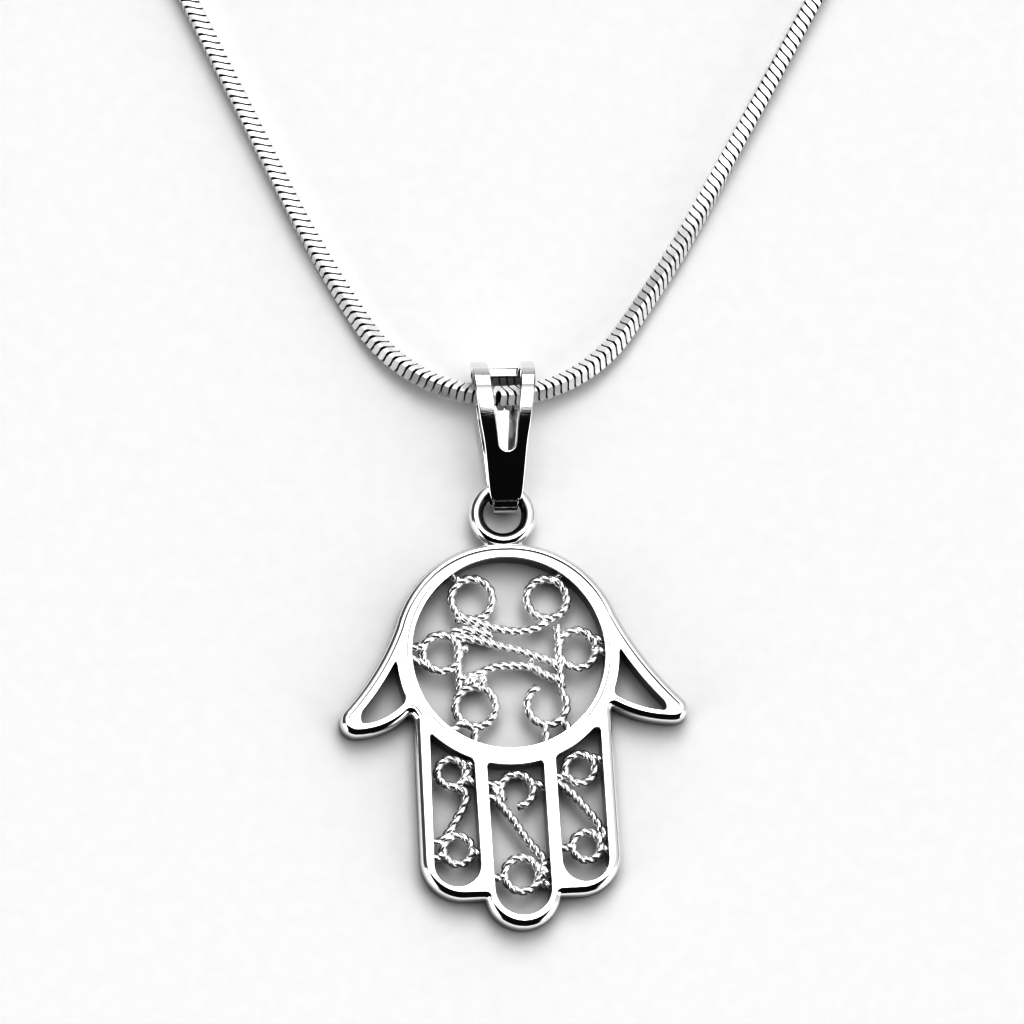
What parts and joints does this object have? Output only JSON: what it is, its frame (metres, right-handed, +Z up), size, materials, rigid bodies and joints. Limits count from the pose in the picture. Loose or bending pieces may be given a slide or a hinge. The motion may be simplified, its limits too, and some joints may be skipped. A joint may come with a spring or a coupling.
{
  "type": "hamsa pendant necklace",
  "caption": "Open hamsa hand pendant with rope wire filigree and a soldered ring, hung by a forked loop bail on a closed snake chain with a plain barrel clasp.",
  "frame": {"origin": "on the surface that the necklace lies on, under the middle of its bounding box", "axes": "+X across the hand, +Y from the fingertips along the necklace to the clasp, +Z up from the surface"},
  "size_m": [0.1238, 0.2044, 0.0042],
  "materials": {
    "hand_silver": "bright polished sterling silver with dark soot in the filigree",
    "bail_silver": "mirror polished sterling silver",
    "chain_silver": "polished silver plates with dark joints",
    "closing_silver": "polished sterling silver"
  },
  "bodies": {
    "root": {"hand": "hand_silver", "bail": "bail_silver", "chain": "chain_silver", "end_cap_left": "closing_silver", "end_cap_right": "closing_silver", "jump_ring_left": "closing_silver", "jump_ring_right": "closing_silver", "clasp": "closing_silver"}
  },
  "joints": []
}
